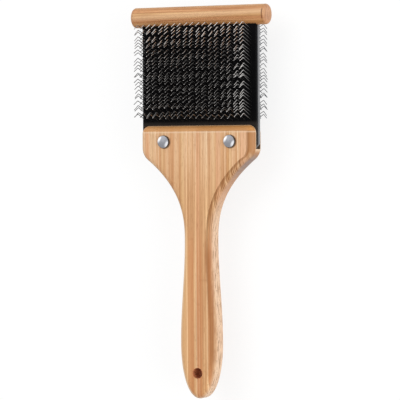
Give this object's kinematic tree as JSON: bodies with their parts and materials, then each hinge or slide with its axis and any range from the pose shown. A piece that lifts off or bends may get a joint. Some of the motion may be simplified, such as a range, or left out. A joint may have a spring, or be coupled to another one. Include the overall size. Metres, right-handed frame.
{
  "type": "double-sided dog brush",
  "caption": "Double-sided slicker brush for dogs: a forked bamboo handle clamps a flat head with hooked wire pins on both faces, capped by a round bamboo bar.",
  "frame": {"origin": "middle of the overall length and width, on the surface that the brush lies on, level with the tips of the back pins", "axes": "+X across the head, to the right as the front face is seen with the head up; +Y along the handle, from the grip to the head; +Z out of the front face, upwards as the brush lies"},
  "size_m": [0.0994, 0.2618, 0.0434],
  "materials": {
    "bamboo": "laminated strips, fine sanded, clear matt lacquer",
    "bamboo_bar": "turned, grain along the bar, clear matt lacquer",
    "spring_steel": "rolled, slightly matt",
    "black_rubber": "smooth, matt",
    "grey_rubber": "smooth, matt",
    "pin_steel": "drawn wire with polished tips",
    "rivet_metal": "brushed, slightly domed"
  },
  "bodies": {
    "root": {"handle": "bamboo", "top_bar": "bamboo_bar", "front_leaf": "spring_steel", "back_leaf": "spring_steel", "front_pad": "black_rubber", "back_pad": "grey_rubber", "front_pins": "pin_steel", "back_pins": "pin_steel", "left_rivet": "rivet_metal", "right_rivet": "rivet_metal", "left_rivet_cap": "rivet_metal", "right_rivet_cap": "rivet_metal"}
  },
  "joints": []
}
